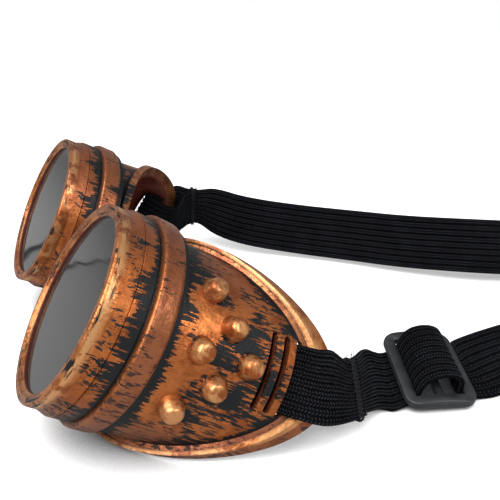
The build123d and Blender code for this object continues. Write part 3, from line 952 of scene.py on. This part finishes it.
# Each brush noise: marks in a millimetre across and along the cup, detail and roughness
brush = {
    "strokes": (1.05, 0.085, 4.0, 0.6),
    "fine": (2.2, 0.3, 3.0, 0.6),
    "slashes": (0.95, 0.24, 3.0, 0.62),
    "patches": (0.085, 0.07, 2.0, 0.5),
    "rounds": (0.13, 1.15, 4.0, 0.6),  # these circle the cup
    "ringSeed": 3.0,
    "strokeShare": 0.72,
    "ragged": (0.34, 0.67),
    "patchSpan": (0.38, 0.60),
    "patchShare": 0.8,
    "edge": 0.3,
}
ringMarks = {
    "end": 11.6,
    "fringe": 11.0,  # how far bare fringes reach from a groove
    "line": 7.2,
    "lineWidth": (0.1, 0.45),
    "lineWear": (0.46, 0.54),
    "lineShare": 0.6,
    "lip": (1.2, 4.2),
    "front": (0.5, 1.2),
    "frontShare": 0.75,
    "step": 8.0,
    "stepWidth": (0.1, 0.6),
    "stepShare": 0.35,
    "scuffs": (0.535, 0.57),
    "scuffPatches": (0.42, 0.48),
    "bore": (27.0, 28.3),
    "boreFront": (0.6, 1.4),
}
cupMarks = {
    "neck": (12.3, 13.0),
    "collarFront": (12.8, 13.5),
    "collarRear": (19.0, 19.6),
    "collarEdge": 13.4,
    "edgeWidth": (0.1, 0.6),
    "edgeShare": 0.75,
    "stepEnd": 20.8,
    "groove": (19.4, 19.7),
    "collarFringe": 15.0,
    "rimFringe": 8.5,
    "rimUpper": (-4.0, 16.0),
    "rimShare": 0.3,
    "nicks": (0.60, 0.63),
    "nickPatches": (0.44, 0.5),
    "nickShare": 0.9,
    "studs": [(29.2, -15.9), (29.2, 0.0), (29.2, 15.9), (36.6, -7.95), (36.6, 7.95), (44.0, 0.0)],
    "hollowShadowY": 2.2,  # bare plastic and a painted shadow lie behind and below each stud
    "hollowShadowZ": 4.6,
    "hollowShadowStretch": 0.6,
    "hollowShadowFringe": 14.0,
    "hollowShadowFrom": (5.0, 12.0),
    "raised": (0.8, 2.3),
    "raisedFrom": (21.0, 22.0),
    "raisedClean": 0.95,
    "raisedShare": 0.7,
    "inside": (-1.3, -0.7),
    "duskyShare": 0.75,
}
# The cup's wall, and the curve of its rim, as the CAD part has them
wall = {"front": 16.0, "depth": 54.0, "shift": 6.1, "frontDrop": 1.4, "rearDrop": 0.3,
        "frontRadius": 29.9, "rearRadius": 30.1}
rim = {"nose": 24.0, "temple": 69.3, "start": -30.0, "span": 68.0, "power": 2.25, "band": 3.6,
       "bandEdge": (2.6, 3.2)}


class CopperPlace:
    # A point's place on the cup, and the brush noises that every copper part shares
    def __init__(self, made, cup, isRing):
        self.made = made
        inputs = {
            "Vector": made.objectPlace(),
            "Location": Vector(cup["place"]) * mm,
            "Rotation": cupTurn(cup).to_euler(),
            "Scale": (mm, mm, mm),
        }
        self.place = made.node("ShaderNodeMapping", {"vector_type": "TEXTURE"}, inputs)
        parts = made.outputs("ShaderNodeSeparateXYZ", {"Vector": self.place})
        self.x, y, self.z = parts.values()
        self.y = y * cup["cheek"]
        share, drop, radius = 0.0, 0.0, wall["frontRadius"]
        if not isRing:
            share = (self.z - wall["front"]) / wall["depth"]
            drop = share * (wall["rearDrop"] - wall["frontDrop"]) + wall["frontDrop"]
            radius = share * (wall["rearRadius"] - wall["frontRadius"]) + wall["frontRadius"]
        middle = made.combined(self.x - share * wall["shift"], self.y - drop)
        self.radius = made.measured("LENGTH", middle)
        self.above = self.radius - radius
        seed = (cup["seed"], 0.0, brush["ringSeed"] if isRing else 0.0)
        noises = []
        for kind in ("strokes", "fine", "slashes", "patches"):
            across, along, detail, roughness = brush[kind]
            stretched = made.stretched(self.place, (across, across, along), seed)
            noises.append(made.noise(stretched, 1.0, detail, roughness))
        self.strokes, self.fine, self.slashes, self.patches = noises
        across, along, detail, roughness = brush["rounds"]
        steps = (self.radius - self.z) * along + cup["seed"]
        circling = made.combined(self.x * across, y * across, steps)
        self.rounds = made.noise(circling, 1.0, detail, roughness)
        share, patchShare = brush["strokeShare"], brush["patchShare"]
        ragged = (self.strokes * share + self.fine * (1 - share)).between(*brush["ragged"])
        patches = self.patches.between(*brush["patchSpan"])
        self.ragged = ragged * (patches * patchShare + (1 - patchShare))

    def fringe(self, distance, reach):
        # Bare plastic beside a groove, ending in ragged strokes
        return (self.ragged * reach - distance).between(-brush["edge"], brush["edge"])


# Both mask functions give the bare plastic, the ridges that take a painted highlight, the inside, and
# the duskier collar with the painted shade of the rim's lower band
def ringMasks(at):
    marks = ringMarks
    bare = at.fringe(marks["end"] - at.z, marks["fringe"])
    line = at.z.near(marks["line"], *marks["lineWidth"])
    bare = bare.most(line * at.strokes.between(*marks["lineWear"]) * marks["lineShare"])
    lip = 1 - at.z.between(*marks["lip"])
    front = 1 - at.z.between(*marks["front"])
    scuffs = at.rounds.between(*marks["scuffs"]) * at.patches.between(*marks["scuffPatches"])
    step = at.z.near(marks["step"], *marks["stepWidth"]) * marks["stepShare"]
    # The ridge mask is where the painted highlight goes: the lip's crest and the step line
    ridgeHighlight = (lip - front * marks["frontShare"]).clamped().most(step)
    inside = (1 - at.radius.between(*marks["bore"])) * at.z.between(*marks["boreFront"])
    return bare.most(lip * scuffs), ridgeHighlight, inside, 0.0


def studHollowShadows(at):
    # The distance to the nearest stud's hollow, behind and below it, where bare plastic stands partly
    # for the unpainted hollow and partly for a painted shadow of the stud
    flat = cupMarks["hollowShadowStretch"]
    here = at.made.combined(at.y, at.z * flat)
    least = None
    for studZ, studY in cupMarks["studs"]:
        place = (studY + cupMarks["hollowShadowY"], (studZ + cupMarks["hollowShadowZ"]) * flat, 0.0)
        far = at.made.measured("DISTANCE", here, place)
        least = least.least(far) if least else far
    return least


def cupMasks(at):
    marks = cupMarks
    past = at.z.between(*marks["neck"])
    collar = at.z.between(*marks["collarFront"]) * (1 - at.z.between(*marks["collarRear"]))
    fringe = at.fringe(at.z - marks["stepEnd"], marks["collarFringe"])
    bare = (1 - past).most(fringe * at.z.between(*marks["groove"]))
    rise = ((at.x - rim["start"]) / rim["span"]).most(0.0) ** rim["power"]
    depth = rise * (rim["temple"] - rim["nose"]) + rim["nose"] - at.z
    band = 1 - depth.between(*rim["bandEdge"])
    bare = bare.most(at.fringe(depth - rim["band"], marks["rimFringe"]) * (1 - band))
    # Black behind and below each stud: partly bare plastic in the hollow, partly a painted shadow of
    # the stud
    hollowShadows = at.fringe(studHollowShadows(at), marks["hollowShadowFringe"])
    bare = bare.most(hollowShadows * at.x.between(*marks["hollowShadowFrom"]))
    nicks = at.slashes.between(*marks["nicks"]) * at.patches.between(*marks["nickPatches"])
    bare = bare.most(collar * nicks * marks["nickShare"])
    raised = at.above.between(*marks["raised"]) * at.z.between(*marks["raisedFrom"])
    raised = raised * (1 - band) * (1 - collar)
    bare = bare * (1 - raised * marks["raisedClean"])
    # Painted highlight on the collar's front edge, the upper side of the rim band and the raised studs
    edge = at.z.near(marks["collarEdge"], *marks["edgeWidth"])
    upper = 1 - at.y.between(*marks["rimUpper"])
    ridgeHighlight = (edge * marks["edgeShare"]).most(band * upper * marks["rimShare"])
    ridgeHighlight = ridgeHighlight.most(raised * marks["raisedShare"])
    inside = (1 - at.above.between(*marks["inside"])) * past
    # The collar band is made duskier, and the lower side of the rim band gets painted shade
    duskyCollarAndRimShade = (collar * (1 - edge)).most(band * (1 - upper)) * marks["duskyShare"]
    return bare, ridgeHighlight, inside, duskyCollarAndRimShade


def copperFinish(name, cup, isRing):
    made = Finish(name)
    at = CopperPlace(made, cup, isRing)
    bare, ridgeHighlight, inside, duskyCollarAndRimShade = (ringMasks if isRing else cupMasks)(at)
    low = at.y.between(*copper["lowSpan"]) * copper["lowShare"]
    loose = (at.slashes + low).between(*copper["loose"])
    loose = loose * (at.patches + low).between(*copper["loosePatches"])
    guarded = 1 - (ridgeHighlight * copper["ridgeGuard"]).clamped()
    bare = bare.most(loose * guarded).clamped() * (1 - inside)
    clouds = made.noise(at.place, *copper["clouds"]).between(*copper["cloudSpan"])
    grain = (at.rounds if isRing else at.fine).between(*copper["grain"])
    streaks = grain * copper["grainShare"] + clouds * (1 - copper["grainShare"])
    paint = made.mixed(streaks * copper["streakShare"], copper["orange"], copper["brown"])
    # Painted shade in the dusky tone: the upper side as seen at a grazing angle, the lowest side and
    # the rim's lower band; the collar band is duskier too
    shadedSides = (1 - at.y.between(*copper["upperTurn"])).most(at.y.between(*copper["lowerTurn"]))
    paint = made.mixed((shadedSides * copper["turnShare"]).most(duskyCollarAndRimShade), paint, copper["paintedShade"])
    # Painted highlight: the ridges turn gold
    highlight = (ridgeHighlight * clouds.between(*copper["highlightSpan"])).clamped()
    paint = made.mixed(highlight, paint, copper["paintedHighlight"])
    paint = made.mixed(inside, paint, copper["inside"])
    metal = (1 - bare) * (1 - inside * copper["insideDull"]) * copper["metallic"]
    rough = at.fine * copper["fineRoughness"] + bare * copper["bareRoughness"] + copper["sheen"]
    dents = made.noise(at.place, *copper["dents"]) * copper["dentHeight"]
    height = (1 - bare) * copper["paintHeight"] + at.fine * copper["fineHeight"] + dents
    return made.done({
        "Base Color": made.mixed(bare, paint, copper["black"]),
        "Metallic": metal.clamped(),
        "Roughness": rough.clamped(),
        "Specular IOR Level": copper["gloss"],
        "Normal": made.bump(height, copper["bump"], copper["bumpDepth"]),
    })


# Dark smoke glass with a faint film on it
lensLook = {
    "low": (0.016, 0.016, 0.018),
    "high": (0.022, 0.022, 0.023),
    "film": (60.0, 3.0),
    "filmRoughness": 0.06,
    "polish": 0.02,
    "ior": 1.55,
    "alpha": 0.94,
}


def lensFinish():
    made = Finish("smokeLens")
    film = made.noise(made.objectPlace(), *lensLook["film"])
    return made.done({
        "Base Color": made.mixed(film, lensLook["low"], lensLook["high"]),
        "Roughness": film * lensLook["filmRoughness"] + lensLook["polish"],
        "IOR": lensLook["ior"],
        "Alpha": lensLook["alpha"],
    })


def dressNode(node, material):
    piece = nodes[node]
    piece.data.materials.clear()
    piece.data.materials.append(material)


def paintCups():
    lens = lensFinish()
    for side, cup in cups.items():
        dressNode(side + "_cup", copperFinish(side + "Cup", cup, False))
        dressNode(side + "_lens_ring", copperFinish(side + "LensRing", cup, True))
        dressNode(side + "_lens", lens)


paintCups()
print("cups and rings brushed with copper")


# Lengths in metres. The floor looks lighter to the camera than to the mirroring lenses, and is painted
# darker, as a contact shadow, where little open sky is over it
studio = {
    "floorSize": 6.0,
    "floorColour": (0.86, 0.86, 0.865),
    "floorLift": 0.48,
    "farLift": 0.24,
    "farSpan": (0.25, 0.8),
    "mirrorColour": (0.40, 0.40, 0.40),
    "worldLevel": 0.38,
    "seamWay": (0.388, -0.922, 0.0),  # a dark strip painted on the floor for glossy rays only, which the lenses show as a painted dark reflection
    "seamPlace": 0.0938,
    "seamWidth": 0.003,
    "seamEdge": 0.001,
    "seamFade": 0.003,
    "seamNoise": (7.0, 1.0),
    "seamDrift": 0.02,
    "mirroredSeamColour": (0.03, 0.03, 0.03),
    "farGlow": 0.13,
    "contact": 0.028,
    "contactSamples": 8,
    "contactSpan": (0.07, 0.80),
    "contactShadowColour": (0.05, 0.05, 0.05),
    "lamps": [  # place, aim, width, height, and power in watts
        ((0.24, -0.55, 0.78), (0.0, -0.06, 0.02), 0.85, 0.70, 12.0),
        ((0.75, 0.35, 0.65), (0.02, 0.0, 0.02), 0.5, 0.4, 5.0),
    ],
}


def floorFinish(look):
    made = Finish("studioFloor")
    rays = made.outputs("ShaderNodeLightPath", {})
    seen, mirrored = rays["Is Camera Ray"], rays["Is Glossy Ray"]
    place = made.objectPlace()
    across = made.measured("DOT_PRODUCT", place, look["seamWay"])
    across = across + (made.noise(place, *look["seamNoise"]) - 0.5) * look["seamDrift"]
    start = look["seamPlace"]
    end = start + look["seamWidth"]
    # Painted reflection: a dark strip that only glossy rays see, so the lenses show a dark line
    near = across.between(start, start + look["seamEdge"])
    mirroredSeam = near * (1 - across.between(end, end + look["seamFade"]))
    paper = made.mixed(mirrored, look["floorColour"], look["mirrorColour"])
    paper = made.mixed(mirrored * mirroredSeam, paper, look["mirroredSeamColour"])
    # Painted contact shadow: the floor's colour darkens and its glow dims where little open sky is
    # over it
    settings, inputs = {"samples": look["contactSamples"]}, {"Distance": look["contact"]}
    openness = made.node("ShaderNodeAmbientOcclusion", settings, inputs, "AO")
    openness = openness.between(*look["contactSpan"])
    colour = made.mixed(openness, look["contactShadowColour"], paper)
    diffuse = made.node("ShaderNodeBsdfDiffuse", {}, {"Color": colour})
    lift = made.measured("LENGTH", place).between(*look["farSpan"])
    lift = lift * look["farLift"] + look["floorLift"]
    strength = seen * openness * lift + mirrored * (1 - near) * look["farGlow"]
    glow = made.node("ShaderNodeEmission", {}, {"Color": (1, 1, 1, 1), "Strength": strength})
    surface = made.node("ShaderNodeAddShader", {}, {0: diffuse, 1: glow})
    made.node("ShaderNodeOutputMaterial", {}, {"Surface": surface})
    return made.material


def makeFloor(look):
    half = look["floorSize"] / 2
    corners = [(-half, -half, 0), (half, -half, 0), (half, half, 0), (-half, half, 0)]
    mesh = meshFrom("floor", corners, [(0, 1, 2, 3)], smooth=False)
    newObject("floor", mesh, floorFinish(look))


def makeWorld(look):
    # Pure white to the camera, dimmer as a light
    world = bpy.data.worlds.new("studioWorld")
    bpy.context.scene.world = world
    world.use_nodes = True
    made = Tree(world.node_tree)
    seen = made.outputs("ShaderNodeLightPath", {})["Is Camera Ray"]
    level = seen * (1 - look["worldLevel"]) + look["worldLevel"]
    sky = made.node("ShaderNodeBackground", {}, {"Color": (1, 1, 1, 1), "Strength": level})
    made.node("ShaderNodeOutputWorld", {}, {"Surface": sky})


def makeLamps(look):
    for i, (place, aim, width, height, power) in enumerate(look["lamps"]):
        data = bpy.data.lights.new("softbox%d" % i, "AREA")
        data.shape = "RECTANGLE"
        data.size, data.size_y, data.energy = width, height, power
        lamp = bpy.data.objects.new("softbox%d" % i, data)
        lamp.location = place
        lamp.rotation_euler = (Vector(aim) - Vector(place)).to_track_quat("-Z", "Y").to_euler()
        bpy.context.scene.collection.objects.link(lamp)


makeFloor(studio)
makeWorld(studio)
makeLamps(studio)
bpy.context.scene.view_settings.view_transform = "Standard"
print("studio lit")
